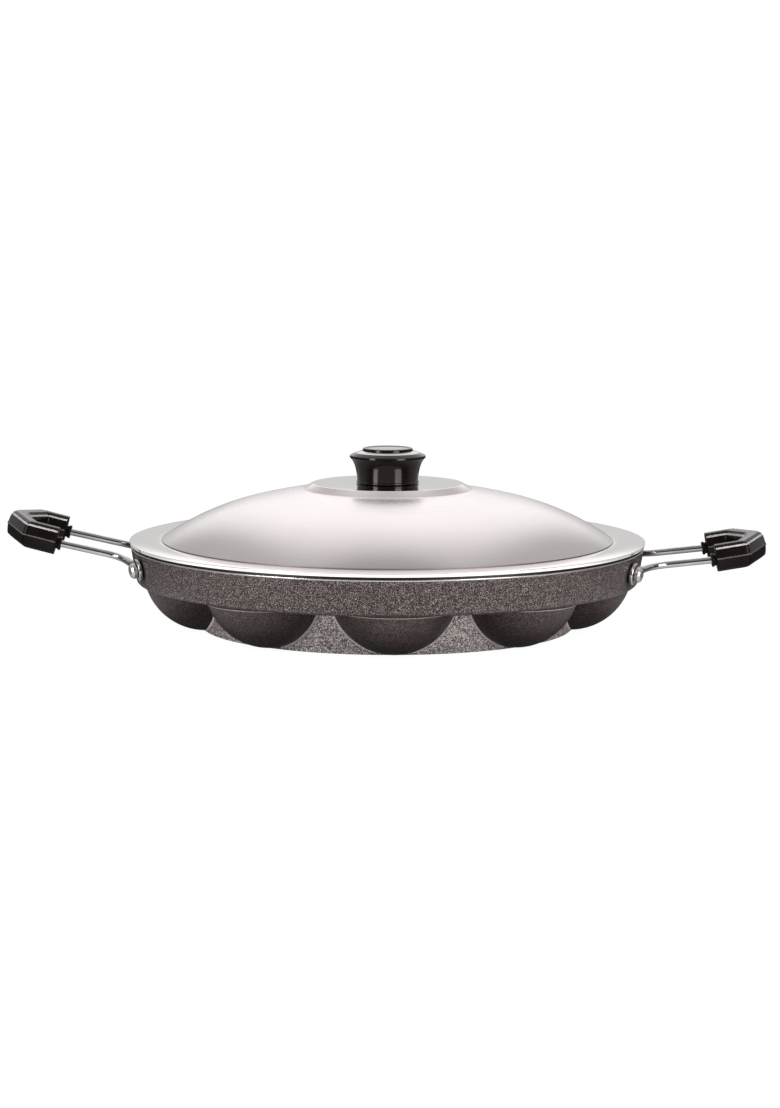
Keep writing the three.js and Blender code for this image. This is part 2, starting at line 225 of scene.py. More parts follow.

# Faces that take another finish, among them painted highlights and painted shade: how near to a line their
# centres are, and how far they lean
NEAR = 0.05
BARELY = 0.02
RING_NEAR = 0.06
RING_SLANT = 0.5
RIM_SLANT = 0.3
HEM_SLANT = 0.6
RIDGE_SLANT = 0.5
BEVEL_SLANT_LOW, BEVEL_SLANT_HIGH = 0.3, 0.82
BEVEL_DEPTH = 0.75
ARM_END = 0.3

# Levels and radii that follow from the sizes above
PLATE_HIGH = PLATE_LOW + PLATE_THICKNESS
BOWL_RADIUS = CAVITY_RADIUS + BOWL_WALL
BOWL_CENTRE = BOWL_LIFT + BOWL_RADIUS
WALL_TOP = RIM_HEIGHT - RIM_ROUND
WALL_SLOPE = WALL_LEAN / (WALL_TOP - PLATE_LOW - FOOT_ROUND)
WALL_TILT = atan(WALL_SLOPE)
LID_RADIUS = RIM_RADIUS + LID_OVERHANG
LID_BOTTOM = RIM_HEIGHT + SEAT_GAP
FLANGE_TOP = LID_BOTTOM + HEM_HEIGHT


def wall_radius(height):
    return RIM_RADIUS - WALL_SLOPE * (WALL_TOP - height)


MOUTH_RADIUS = sqrt(CAVITY_RADIUS**2 - (BOWL_CENTRE - PLATE_HIGH) ** 2)
OUTER_CIRCLE = wall_radius(PLATE_HIGH) - WALL_THICKNESS - WALL_LEDGE - MOUTH_RADIUS
INNER_CIRCLE = (2 * MOUTH_RADIUS + INNER_WEB) / (2 * sin(pi / INNER_COUNT))
RING_FOOT = OUTER_CIRCLE + RING_PROUD

CROWN_EDGE = asin(CROWN_REACH / CROWN_RADIUS)
FILLET_FOOT = LID_RADIUS - FLANGE_WIDTH
SHOULDER_EDGE = asin(
    (FILLET_FOOT - CROWN_REACH + SHOULDER_RADIUS * sin(CROWN_EDGE)) / (SHOULDER_RADIUS + FLANGE_FILLET)
)
SHOULDER_TOP = (
    FLANGE_TOP
    + FLANGE_FILLET * (1 - cos(SHOULDER_EDGE))
    + SHOULDER_RADIUS * (cos(CROWN_EDGE) - cos(SHOULDER_EDGE))
)
CROWN_CENTRE = SHOULDER_TOP - CROWN_RADIUS * cos(CROWN_EDGE)
DISC_FOOT = CROWN_CENTRE + sqrt(CROWN_RADIUS**2 - DISC_FOOT_RADIUS**2)
DISC_TOP = DISC_FOOT + DISC_RISE

KNOB_BASE = DISC_TOP + SEAT_GAP
CAP_SEAT = KNOB_HEIGHT + CAP_PROUD - CAP_THICKNESS - SEAT_GAP
INSERT_RADIUS = SCREW_RADIUS + BORE_GAP + INSERT_WALL
WASHER_TOP = -SEAT_GAP - LID_SHEET - SEAT_GAP
SCREW_HEAD_TOP = WASHER_TOP - WASHER_THICKNESS - SEAT_GAP


# Places of the rivets


def rivet_frame(handle, side):
    """A rivet's place on the wall's outer face, Z along the outward normal, before the handle's turn."""
    azimuth = radians(side * handle["angle"])
    height = RIM_HEIGHT - handle["drop"]
    flat = Vector((cos(azimuth), sin(azimuth), 0))
    normal = flat * cos(WALL_TILT) - Vector((0, 0, sin(WALL_TILT)))
    place = flat * wall_radius(height) + Vector((0, 0, height))
    turn = Vector((0, 0, 1)).rotation_difference(normal)
    return Matrix.Translation(place) @ turn.to_matrix().to_4x4()


def handle_turn(handle):
    return Matrix.Rotation(radians(handle["turn"]), 4, "Z")


def rivet_place(handle, side):
    return handle_turn(handle) @ rivet_frame(handle, side)


def rivet_shade_place(handle, side):
    """A point outside the wall on a rivet's axis, so that the painted shade round it falls on the outer
    face.
    """
    return rivet_place(handle, side) @ Vector((0, 0, RIVET_SHADE_OUT))


# Shapes: pairs of corner points and faces


def arc(centre_r, centre_z, radius, start, end, steps):
    """Points of an arc about a centre, from one angle to another."""
    angles = [radians(start + (end - start) * i / steps) for i in range(steps + 1)]
    return [(centre_r + radius * cos(a), centre_z + radius * sin(a)) for a in angles]


def oblong(x0, y0, x1, y1):
    return [(x0, y0), (x1, y0), (x1, y1), (x0, y1)]


def rounded(corners, closed=False, steps=ROUND_STEPS):
    """A polyline of (x, y, radius) corners, each turned into an arc of its radius."""
    points = []
    for i, (x, y, radius) in enumerate(corners):
        here = Vector((x, y))
        if radius == 0 or (not closed and i in (0, len(corners) - 1)):
            points.append((x, y))
            continue
        before = (Vector(corners[i - 1][:2]) - here).normalized()
        after = (Vector(corners[(i + 1) % len(corners)][:2]) - here).normalized()
        half = before.angle(after) / 2
        centre = here + (before + after).normalized() * radius / sin(half)
        first = here + before * radius / tan(half) - centre
        last = here + after * radius / tan(half) - centre
        turn = atan2(first.cross(last), first.dot(last))
        for k in range(steps + 1):
            points.append(tuple(centre + Matrix.Rotation(turn * k / steps, 2) @ first))
    return points


def round_angles(count):
    return [2 * pi * k / count for k in range(count)]


def turned(profile, facets, closed=False):
    """A profile of (radius, height) points turned about Z: from axis to axis, or closed as a ring."""
    points, rings, faces = [], [], []
    for r, z in profile:
        first = len(points)
        if r == 0:
            points.append(Vector((0, 0, z)))
            rings.append([first] * facets)
            continue
        points += [Vector((r * cos(a), r * sin(a), z)) for a in round_angles(facets)]
        rings.append(list(range(first, first + facets)))
    following = rings[1:] + rings[:1] if closed else rings[1:]
    for low, high in zip(rings, following):
        for k in range(facets):
            after = (k + 1) % facets
            face = list(dict.fromkeys((low[k], low[after], high[after], high[k])))
            if len(face) > 2:
                faces.append(face)
    return points, faces


def lofted(rows):
    """Rows of points, each as long as the others, skinned in order and closed at both ends."""
    count = len(rows[0])
    points = [Vector(p) for row in rows for p in row]
    faces = [list(range(count))[::-1], list(range(len(points) - count, len(points)))]
    for i in range(len(rows) - 1):
        low, high = i * count, (i + 1) * count
        for k in range(count):
            after = (k + 1) % count
            faces.append([low + k, low + after, high + after, high + k])
    return points, faces


def swept(path, radius, sides, shape_offset=None):
    """A tube along a path. shape_offset may change a section's offset at a point of the path."""
    rows = []
    across = None
    for i, point in enumerate(path):
        tangent = (path[min(i + 1, len(path) - 1)] - path[max(i - 1, 0)]).normalized()
        across = tangent.orthogonal() if across is None else across - tangent * across.dot(tangent)
        across.normalize()
        beside = tangent.cross(across)
        offsets = [(across * cos(a) + beside * sin(a)) * radius for a in round_angles(sides)]
        if shape_offset:
            offsets = [shape_offset(i, offset) for offset in offsets]
        rows.append([point + offset for offset in offsets])
    return lofted(rows)


def moved(shape, matrix):
    points, faces = shape
    return [matrix @ p for p in points], faces


def merged(shapes):
    """Several shapes that don't touch, as one."""
    points, faces = [], []
    for more_points, more_faces in shapes:
        first = len(points)
        points += more_points
        faces += [[first + corner for corner in face] for face in more_faces]
    return points, faces


# Objects


def new_object(name, data):
    obj = bpy.data.objects.new(name, data)
    bpy.context.scene.collection.objects.link(obj)
    return obj


def solid(name, shape):
    """An object in metres, with its faces pointing out."""
    points, faces = shape
    mesh = bpy.data.meshes.new(name)
    mesh.from_pydata([p * MM for p in points], [], faces)
    build = bmesh.new()
    build.from_mesh(mesh)
    bmesh.ops.recalc_face_normals(build, faces=build.faces)
    build.to_mesh(mesh)
    build.free()
    return new_object(name, mesh)


def combine(target, shape, operation):
    """Joins a shape to an object (UNION) or cuts it away (DIFFERENCE)."""
    tool = solid("tool", shape)
    modifier = target.modifiers.new("combine", "BOOLEAN")
    modifier.operation = operation
    modifier.solver = "MANIFOLD"
    modifier.object = tool
    evaluated = target.evaluated_get(bpy.context.evaluated_depsgraph_get())
    mesh = bpy.data.meshes.new_from_object(evaluated)
    target.modifiers.clear()
    spent = [target.data, tool.data]
    target.data = mesh
    bpy.data.objects.remove(tool)
    for old in spent:
        bpy.data.meshes.remove(old)


def dress(piece, materials, body, slot, *nodes):
    """Smooth shading, finishes, a body to ride on and the parts that the piece stands for."""
    piece.data.materials.clear()
    piece.data.polygons.foreach_set("material_index", [0] * len(piece.data.polygons))
    for material in materials:
        piece.data.materials.append(material)
    piece.data.shade_smooth()
    piece.data.set_sharp_from_angle(angle=radians(SHARP_ANGLE))
    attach(piece, body)
    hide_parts(*nodes)


def mark_faces(piece, choose):
    """Gives faces another of the piece's finishes, by a choice from a face's centre and normal."""
    for polygon in piece.data.polygons:
        finish = choose(polygon.center / MM, polygon.normal)
        if finish:
            polygon.material_index = piece.data.materials.find(finish.name)


def outward(centre, normal):
    """How squarely a face looks away from the Z axis."""
    return normal.xy.dot(centre.xy.normalized())


# Finishes, with their grain in cells a metre

MOTTLE_LEVEL = 0.92
WALL_GRAIN = 4300
FINE_GRAIN = 4600
RING_GRAIN = 2600
SHEET_LINES = 700
RIM_LINES = 900
KNOB_LINES = 1200
GRAIN_SHARES = (0, 0.45, 0.78, 0.92)
GRAIN_ROUGHNESS = [(0, 0.5), (1, 0.34)]
LATHE_DRIFT = (0.004, 0.004, 0)
# How rough the lid is by radius, as a share of its steel's own roughness
LID_BANDS = [(33, 0.3), (37, 1), (60, 1), (75, 0.8), (100, 0.8), (103, 0.3)]


def new_finish(name, metallic, **sockets):
    """A material, its node tree, its shader and the place on the object that its textures read."""
    material = bpy.data.materials.new(name)
    material.use_nodes = True
    tree = material.node_tree
    shader = tree.nodes["Principled BSDF"]
    shader.inputs["Metallic"].default_value = metallic
    for socket, value in sockets.items():
        shader.inputs[socket.replace("_", " ")].default_value = value
    return material, tree, shader, add(tree, "TexCoord", {}, "Object")


def add(tree, kind, inputs, output=0, **settings):
    """One output of a new node, whose inputs are given as values or as sockets to link from."""
    node = tree.nodes.new("ShaderNode" + kind)
    for setting, value in settings.items():
        setattr(node, setting, value)
    for socket, value in inputs.items():
        if isinstance(value, bpy.types.NodeSocket):
            tree.links.new(value, node.inputs[socket])
        else:
            node.inputs[socket].default_value = value
    return node.outputs[output] if node.outputs else None


def ramp(tree, factor, stops):
    """A colour ramp of (position, colour) stops, where a colour may be one grey level."""
    colours = add(tree, "ValToRGB", {"Fac": factor})
    elements = colours.node.color_ramp.elements
    while len(elements) < len(stops):
        elements.new(1)
    for element, (position, colour) in zip(elements, stops):
        level = colour if isinstance(colour, tuple) else (colour, colour, colour)
        element.position = position
        element.color = (*level, 1)
    return colours


def maths(tree, operation, *values):
    return add(tree, "Math", dict(enumerate(values)), operation=operation)


def vectors(tree, operation, result, *values):
    return add(tree, "VectorMath", dict(enumerate(values)), result, operation=operation)


def share_between(tree, value, low, high):
    """0 up to one value, 1 from another, and in proportion between them."""
    return add(tree, "MapRange", {"Value": value, "From Min": low, "From Max": high})


def varied(tree, factor, first, last, start=0.3, end=0.7):
    """From one level or colour to another over the middle of a noise's range."""
    return ramp(tree, factor, [(start, first), (end, last)])


def noise(tree, where, scale, detail=3, roughness=0.5):
    inputs = {"Vector": where, "Scale": scale, "Detail": detail, "Roughness": roughness}
    return add(tree, "TexNoise", inputs)


def blend_colours(tree, mode, factor, first, second):
    return add(tree, "MixRGB", {"Fac": factor, "Color1": first, "Color2": second}, blend_type=mode)


def feed(tree, shader, colour, roughness, bump, strength, distance):
    """Links what varies over the surface to the shader: colour, roughness and the height of a bump."""
    normal = add(tree, "Bump", {"Height": bump, "Strength": strength, "Distance": distance * MM})
    tree.links.new(colour, shader.inputs["Base Color"])
    tree.links.new(roughness, shader.inputs["Roughness"])
    tree.links.new(normal, shader.inputs["Normal"])


def painted_shade_round(tree, where, places):
    """Painted shade round the places where something is fastened through the coat, with an uneven edge."""
    edge = noise(tree, where, scale=500)
    shade = None
    for place in places:
        away = vectors(tree, "DISTANCE", "Value", where, place * MM)
        uneven = maths(tree, "MULTIPLY_ADD", edge, RIVET_SHADE_RAGGED * MM, away)
        share = share_between(tree, uneven, RIVET_SHADE_INNER * MM, RIVET_SHADE_OUTER * MM)
        shade = share if shade is None else maths(tree, "MINIMUM", shade, share)
    return ramp(tree, shade, [(0, RIVET_SHADE_LEVEL), (1, 1)])


def speckled_coating(name, scale, dark, middle, light, fleck, metallic=0.25, shade_places=()):
    """A sprayed non-stick coat: soft mottle, close grains of several greys, and scattered bright flakes,
    with painted shade round any places given.
    """
    material, tree, shader, where = new_finish(name, metallic, Coat_Weight=0.12, Coat_Roughness=0.3)
    grains = add(tree, "TexVoronoi", {"Vector": where, "Scale": scale, "Randomness": 1}, "Color")
    pick = add(tree, "SeparateColor", {"Color": grains}, "Red")
    grain = ramp(tree, pick, list(zip(GRAIN_SHARES, (dark, middle, light, fleck))))
    mottle = varied(tree, noise(tree, where, scale=260, detail=4, roughness=0.6), MOTTLE_LEVEL, 1)
    colour = blend_colours(tree, "MULTIPLY", 1, grain, mottle)
    if shade_places:
        colour = blend_colours(tree, "MULTIPLY", 1, colour, painted_shade_round(tree, where, shade_places))
    bump = noise(tree, where, scale, roughness=0.6)
    feed(tree, shader, colour, ramp(tree, pick, GRAIN_ROUGHNESS), bump, strength=0.35, distance=0.06)
    return material


def turned_metal(name, dull, bright, low, high, scale, bands=None):
    """Sheet with the faint rings that a polishing lathe leaves. Bands make it smoother by radius."""
    material, tree, shader, where = new_finish(name, 1)
    axes = add(tree, "SeparateXYZ", {"Vector": where}).node.outputs
    flat = add(tree, "CombineXYZ", {"X": axes["X"], "Y": axes["Y"]})
    reach = vectors(tree, "LENGTH", "Value", flat)
    heading = vectors(tree, "NORMALIZE", "Vector", flat)
    drift = vectors(tree, "MULTIPLY", "Vector", heading, LATHE_DRIFT)
    depth = maths(tree, "SUBTRACT", reach, axes["Z"])
    along = add(tree, "CombineXYZ", {"Z": depth})
    place = vectors(tree, "ADD", "Vector", drift, along)
    lines = noise(tree, place, scale, detail=2, roughness=0.6)
    colour = varied(tree, noise(tree, where, scale=30), dull, bright)
    roughness = varied(tree, lines, low, high, start=0.25, end=0.75)
    if bands:
        share = share_between(tree, reach, 0, LID_RADIUS * MM)
        factor = ramp(tree, share, [(radius / LID_RADIUS, level) for radius, level in bands])
        roughness = blend_colours(tree, "MULTIPLY", 1, roughness, factor)
    feed(tree, shader, colour, roughness, lines, strength=0.06, distance=0.01)
    return material


def grained_metal(name, dull, bright, low, high):
    """Drawn or pressed metal with fine grain and slight handling marks."""
    material, tree, shader, where = new_finish(name, 1)
    grain = noise(tree, where, scale=1400)
    marks = noise(tree, where, scale=180, detail=4, roughness=0.6)
    colour = varied(tree, marks, dull, bright)
    roughness = varied(tree, marks, high, low, end=0.75)
    feed(tree, shader, colour, roughness, grain, strength=0.05, distance=0.01)
    return material


def moulded_black(name, deep, paler, low, high, gloss=0.3):
    """Glossy phenolic moulding: near black with a brown cast, and slightly wavy."""
    material, tree, shader, where = new_finish(name, 0, Specular_IOR_Level=gloss)
    cloud = noise(tree, where, scale=220, detail=4, roughness=0.6)
    colour = varied(tree, cloud, deep, paler, end=0.75)
    roughness = varied(tree, noise(tree, where, scale=700), low, high)
    waves = noise(tree, where, scale=350, detail=2)
    feed(tree, shader, colour, roughness, waves, strength=0.05, distance=0.03)
    return material


COATING = speckled_coating(
    "pan_coating", WALL_GRAIN,
    (0.0035, 0.0026, 0.0025), (0.0167, 0.0126, 0.0119), (0.053, 0.0394, 0.0369), (0.42, 0.319, 0.303),
    # Painted shade round the rivets
    shade_places=[rivet_shade_place(handle, side) for handle in HANDLES.values() for side in (-1, 1)],
)
# The bowls' own finer coat, also put on the wall's foot as painted shade
BOWL_COAT_AND_FOOT_SHADE = speckled_coating(
    "bowl_coat_and_foot_shade", FINE_GRAIN,
    (0.0145, 0.0108, 0.0101), (0.043, 0.0322, 0.03), (0.08, 0.06, 0.056), (0.23, 0.176, 0.166),
)
# Painted shade: a near black coat on the rebate under the lid's hem
REBATE_PAINTED_SHADE = speckled_coating(
    "rebate_painted_shade", FINE_GRAIN,
    (0.001, 0.0008, 0.0008), (0.002, 0.0016, 0.0016), (0.004, 0.0032, 0.003), (0.02, 0.016, 0.015),
)
RING_COATING = speckled_coating(
    "ring_coating", RING_GRAIN,
    (0.06, 0.047, 0.045), (0.3, 0.245, 0.235), (0.9, 0.78, 0.76), (1, 0.95, 0.93),
)
# Painted highlight: a pale coat on the fine line round each bowl
BOWL_LINE_HIGHLIGHT = speckled_coating(
    "bowl_line_painted_highlight", FINE_GRAIN,
    (0.2, 0.165, 0.16), (0.35, 0.29, 0.28), (0.5, 0.43, 0.42), (0.7, 0.61, 0.6),
)
# Painted highlight: a near white coat on the bead where the ring meets each bowl
CREASE_HIGHLIGHT = speckled_coating(
    "crease_painted_highlight", FINE_GRAIN,
    (0.86, 0.8, 0.79), (0.93, 0.87, 0.86), (0.96, 0.91, 0.9), (1, 0.96, 0.95),
    metallic=0,
)
BARE_RIM = turned_metal("bare_rim", (0.6, 0.57, 0.56), (0.72, 0.69, 0.68), 0.2, 0.3, RIM_LINES)
LID_STEEL = turned_metal(
    "lid_steel", (0.645, 0.597, 0.589), (0.675, 0.626, 0.618), 0.23, 0.29, SHEET_LINES, LID_BANDS
)
# Painted highlight: paler, smoother steel on the hem's outer face
HEM_HIGHLIGHT_STEEL = turned_metal("hem_painted_highlight", (0.88, 0.85, 0.84), (0.95, 0.92, 0.91), 0.1, 0.16, SHEET_LINES)
# Painted shade: dark steel on the fine step at the dome's foot
STEP_SHADE_STEEL = turned_metal("step_painted_shade", (0.15, 0.135, 0.132), (0.21, 0.19, 0.185), 0.45, 0.6, SHEET_LINES)
WIRE_STEEL = grained_metal("wire_steel", (0.5, 0.49, 0.485), (0.66, 0.64, 0.635), 0.06, 0.12)
SCREW_STEEL = grained_metal("screw_steel", (0.36, 0.36, 0.36), (0.52, 0.52, 0.52), 0.3, 0.42)
RIVET_METAL = grained_metal("rivet_metal", (0.5, 0.475, 0.47), (0.66, 0.63, 0.625), 0.34, 0.44)
CAP_METAL = turned_metal("cap_metal", (0.34, 0.33, 0.325), (0.4, 0.385, 0.38), 0.2, 0.28, KNOB_LINES)
TRIM_METAL = turned_metal("knob_trim", (0.42, 0.395, 0.39), (0.5, 0.47, 0.465), 0.2, 0.3, KNOB_LINES)
BRASS = grained_metal("insert_brass", (0.4, 0.25, 0.08), (0.55, 0.36, 0.13), 0.28, 0.4)
MOULDING = moulded_black("black_moulding", (0.005, 0.0032, 0.0028), (0.01, 0.0065, 0.0055), 0.1, 0.17)
GRIP_MOULDING = moulded_black(
    "grip_moulding", (0.005, 0.0032, 0.0028), (0.01, 0.0065, 0.0055), 0.1, 0.17, gloss=0.12
)
# Painted highlights: paler moulding on the grips' parting ridge and bevel
RIDGE_HIGHLIGHT_MOULDING = moulded_black("ridge_painted_highlight", (0.06, 0.051, 0.049), (0.13, 0.113, 0.108), 0.16, 0.26)
BEVEL_HIGHLIGHT_MOULDING = moulded_black("bevel_painted_highlight", (0.36, 0.33, 0.32), (0.52, 0.48, 0.47), 0.12, 0.2)


# Pan body


def tray():
    rebate = wall_radius(RIM_LEDGE) - RIM_REBATE
    profile = rounded([
        (0, PLATE_LOW, 0),
        (wall_radius(PLATE_LOW), PLATE_LOW, FOOT_ROUND),
        (wall_radius(BARE_FOOT), BARE_FOOT, 0),
        (wall_radius(RIM_LEDGE), RIM_LEDGE, RIM_EDGE),
        (rebate, RIM_LEDGE, REBATE_EDGE),
        (rebate, RIM_HEIGHT, RIM_EDGE),
        (wall_radius(RIM_HEIGHT) - WALL_THICKNESS, RIM_HEIGHT, RIM_ROUND),
        (wall_radius(PLATE_HIGH) - WALL_THICKNESS, PLATE_HIGH, TRAY_FILLET),
        (0, PLATE_HIGH, 0),
    ], steps=TRAY_STEPS)
    return turned(profile, PAN_FACETS)


def sphere_radius(radius, height):
    """Radius at a height of a sphere about the bowl centre."""
    return sqrt(radius**2 - (height - BOWL_CENTRE) ** 2)


def sphere_arc(radius, low, high, steps):
    """Points up a sphere about the bowl centre, between two heights."""
    start = degrees(asin((low - BOWL_CENTRE) / radius))
    end = degrees(asin((high - BOWL_CENTRE) / radius))
    return arc(0, BOWL_CENTRE, radius, start, end, steps)


def bowl():
    """A bowl's outside, with the fine line and the cove under the plate."""
    line = PLATE_LOW - BOWL_LINE_DROP
    line_radius = sphere_radius(BOWL_RADIUS, line)
    cove_radius = line_radius - BOWL_LINE_RADIUS / 2 + BOWL_COVE
    cove_level = PLATE_LOW - BOWL_COVE + COVE_SINK
    top = PLATE_LOW + PLATE_THICKNESS / 2
    profile = [
        (0, BOWL_LIFT),
        *sphere_arc(BOWL_RADIUS, BOWL_LIFT, line - BOWL_LINE_RADIUS, BOWL_STEPS)[1:],
        *arc(line_radius, line, BOWL_LINE_RADIUS, *BOWL_LINE_ARC, FILLET_STEPS),
        *arc(cove_radius, cove_level, BOWL_COVE, 180, 90, FILLET_STEPS),
        (cove_radius, top),
        (0, top),
    ]
    return turned(profile, BOWL_FACETS)


def cavity():
    """What is cut from a bowl and the plate above it, with a rounded mouth."""
    low = BOWL_CENTRE - CAVITY_RADIUS
    level = PLATE_HIGH - MOUTH_ROUND
    mouth = sphere_radius(CAVITY_RADIUS, level)
    profile = [
        (0, low),
        *sphere_arc(CAVITY_RADIUS, low, level, CAVITY_STEPS)[1:],
        *arc(mouth + MOUTH_ROUND, level, MOUTH_ROUND, 180, 90, FILLET_STEPS)[1:],
        (mouth + MOUTH_ROUND, PLATE_HIGH + OVERLAP),
        (0, PLATE_HIGH + OVERLAP),
    ]
    return turned(profile, BOWL_FACETS)


def bowl_places():
    """Distances and bearings of the outer bowls and then the inner ones."""
    front = radians(CAVITY_TURN - 90)
    outer = [(OUTER_CIRCLE, front + a) for a in round_angles(OUTER_COUNT)]
    inner = [(INNER_CIRCLE, front + pi / OUTER_COUNT + a) for a in round_angles(INNER_COUNT)]
    return outer + inner


BOWL_CENTRES = [Vector((d * cos(b), d * sin(b), BOWL_CENTRE)) for d, b in bowl_places()]


def at_bowls(shape):
    return [moved(shape, Matrix.Translation((centre.x, centre.y, 0))) for centre in BOWL_CENTRES]


def ring_radius(height):
    """Radius of the base ring's outer face."""
    share = (height - RING_EDGE) / (PLATE_LOW + OVERLAP - RING_EDGE)
    return RING_FOOT + RING_LEAN * share


def base_ring():
    top = PLATE_LOW + OVERLAP
    section = [
        (RING_FOOT - RING_THICKNESS, 0, RING_EDGE),
        (ring_radius(0), 0, RING_EDGE),
        (RING_FOOT + RING_LEAN, top, 0),
        (RING_FOOT + RING_LEAN - RING_THICKNESS, top, 0),
    ]
    return turned(rounded(section, closed=True), PAN_FACETS, closed=True)


def casting_lines():
    """A thin bead up each side of each outer bowl, where the ring's face meets it."""
    lines = []
    for distance, bearing in bowl_places()[:OUTER_COUNT]:
        for side in (-1, 1):
            path = []
            for i in range(CREASE_STEPS + 1):
                height = CREASE_FOOT + (PLATE_LOW - CREASE_FOOT) * i / CREASE_STEPS
                ring, ball = ring_radius(height), sphere_radius(BOWL_RADIUS, height)
                spread = acos((ring**2 + distance**2 - ball**2) / (2 * ring * distance))
                angle = bearing + side * spread
                path.append(Vector((ring * cos(angle), ring * sin(angle), height)))
            lines.append(swept(path, CREASE_RADIUS, CREASE_SIDES))
    return merged(lines)


def rivet_hole(handle, side, bottom, top):
    section = oblong(0, bottom - OVERLAP, RIVET_SHANK_RADIUS + BORE_GAP, top + OVERLAP)
    return moved(turned(section, SMALL_FACETS), rivet_place(handle, side))


def pan_finish(centre, normal):
    """Painted highlights on the casting lines and bowl lines, a bare rim and pale ring, the bowls' own
    coat, and painted shade on the wall foot and in the rebate.
    """
    reach, level = centre.xy.length, centre.z
    lean = outward(centre, normal)
    low = level < PLATE_LOW - NEAR
    off_bowl = min((centre - bowl_centre).length for bowl_centre in BOWL_CENTRES) - BOWL_RADIUS
    off_ring = reach - ring_radius(level)
    # Painted highlight on the beads where the ring meets the bowls
    if low and BARELY < off_bowl < CREASE_RADIUS and BARELY < off_ring < CREASE_RADIUS:
        return CREASE_HIGHLIGHT
    # Painted highlight on the fine line round each bowl
    by_line = abs(level - PLATE_LOW + BOWL_LINE_DROP) < BOWL_LINE_RADIUS
    if low and by_line and BARELY < off_bowl < BOWL_LINE_RADIUS + NEAR:
        return BOWL_LINE_HIGHLIGHT
    if BARE_FOOT < level < RIM_LEDGE and lean > RIM_SLANT:
        return BARE_RIM
    if level < PLATE_LOW and abs(off_ring) < RING_NEAR and lean > RING_SLANT:
        return RING_COATING
    # Painted shade: the wall's foot takes the bowls' coat
    by_foot = reach > wall_radius(PLATE_LOW) - FOOT_ROUND and level < PLATE_LOW + FOOT_ROUND / 2
    if by_foot or (low and off_bowl > -BOWL_WALL / 2):
        return BOWL_COAT_AND_FOOT_SHADE
    # Painted shade in the rebate under the lid's hem
    if level > RIM_LEDGE - NEAR and reach > wall_radius(RIM_LEDGE) - RIM_REBATE - NEAR:
        return REBATE_PAINTED_SHADE
    return None


def pan_body():
    pan = solid("pan_casting", tray())
    combine(pan, base_ring(), "UNION")
    for outside in at_bowls(bowl()):
        combine(pan, outside, "UNION")
    combine(pan, casting_lines(), "UNION")
    combine(pan, merged(at_bowls(cavity())), "DIFFERENCE")
    holes = [rivet_hole(h, side, -WALL_THICKNESS, 0) for h in HANDLES.values() for side in (-1, 1)]
    combine(pan, merged(holes), "DIFFERENCE")
    light = [RING_COATING, BARE_RIM, BOWL_LINE_HIGHLIGHT, CREASE_HIGHLIGHT]
    finishes = [COATING, *light, BOWL_COAT_AND_FOOT_SHADE, REBATE_PAINTED_SHADE]
    dress(pan, finishes, "pan", "pan_coating", "pan_body")
    mark_faces(pan, pan_finish)


# Lid


def dome():
    """The lid's upper face, from the fine step at the dome's foot to the screw hole."""
    edge = 90 - degrees(CROWN_EDGE)
    disc_edge = degrees(acos(DISC_FOOT_RADIUS / CROWN_RADIUS))
    shoulder_r = CROWN_REACH - SHOULDER_RADIUS * sin(CROWN_EDGE)
    shoulder_z = SHOULDER_TOP - SHOULDER_RADIUS * cos(CROWN_EDGE)
    crown = arc(0, CROWN_CENTRE, CROWN_RADIUS, edge, disc_edge, DOME_STEPS)
    disc = rounded([
        (*crown[-2], 0),
        (DISC_FOOT_RADIUS, DISC_FOOT, DISC_ROUND),
        (DISC_RADIUS, DISC_TOP, DISC_ROUND),
        (SCREW_RADIUS + BORE_GAP, DISC_TOP, 0),
    ], steps=FILLET_STEPS)
    steepest = 90 - degrees(SHOULDER_EDGE)
    shoulder = arc(shoulder_r, shoulder_z, SHOULDER_RADIUS, steepest, edge, 2 * DOME_STEPS)
    low_r, low_z = shoulder[0]
    step = FLANGE_TOP + LID_STEP
    step_r = low_r + (low_z - step) / tan(SHOULDER_EDGE)
    foot = rounded([
        (FILLET_FOOT + LID_STEP, FLANGE_TOP, 0),
        (step_r + LID_STEP / 6, FLANGE_TOP, LID_STEP_ROUND),
        (step_r, step, LID_STEP_ROUND),
        (low_r, low_z, 0),
    ])
    return [*foot, *shoulder[1:], *crown[1:-2], *disc]


def lid_shell():
    """The pressed lid: a leaning hem, a flange, the dome, and the same one sheet's thickness below."""
    hem_inside = LID_RADIUS - HEM_WIDTH
    top = dome()
    hem = rounded([
        (hem_inside, LID_BOTTOM, HEM_ROUND),
        (LID_RADIUS - HEM_LEAN, LID_BOTTOM, HEM_ROUND),
        (LID_RADIUS, FLANGE_TOP, HEM_ROUND),
        (FILLET_FOOT, FLANGE_TOP, 0),
    ])
    underside = [(hem_inside, FLANGE_TOP - LID_SHEET)] + [(r, z - LID_SHEET) for r, z in top]
    lid = solid("lid_pressing", turned([*hem[:-1], *top, *underside[::-1]], PAN_FACETS, closed=True))
    dress(lid, [LID_STEEL, HEM_HIGHLIGHT_STEEL, STEP_SHADE_STEEL], "lid", "lid_steel", "lid_shell")

    def choose(centre, normal):
        upright = outward(centre, normal) > HEM_SLANT
        # Painted highlight on the hem's outer face
        if upright and centre.xy.length > LID_RADIUS - HEM_WIDTH / 2:
            return HEM_HIGHLIGHT_STEEL
        # Painted shade on the fine step at the dome's foot
        on_step = centre.xy.length < hem_inside and centre.z < FLANGE_TOP + LID_STEP
        return STEP_SHADE_STEEL if upright and on_step else None

    mark_faces(lid, choose)
    return lid


# Knob and its fastening


def bezier(start, control, end, steps):
    points = []
    for i in range(steps + 1):
        t = i / steps
        points.append(Vector(start) * (1 - t) ** 2 + Vector(control) * 2 * t * (1 - t) + Vector(end) * t**2)
    return points


def lifted(shape):
    """A shape whose heights are from the knob's base, in its place."""
    return moved(shape, Matrix.Translation((0, 0, KNOB_BASE)))


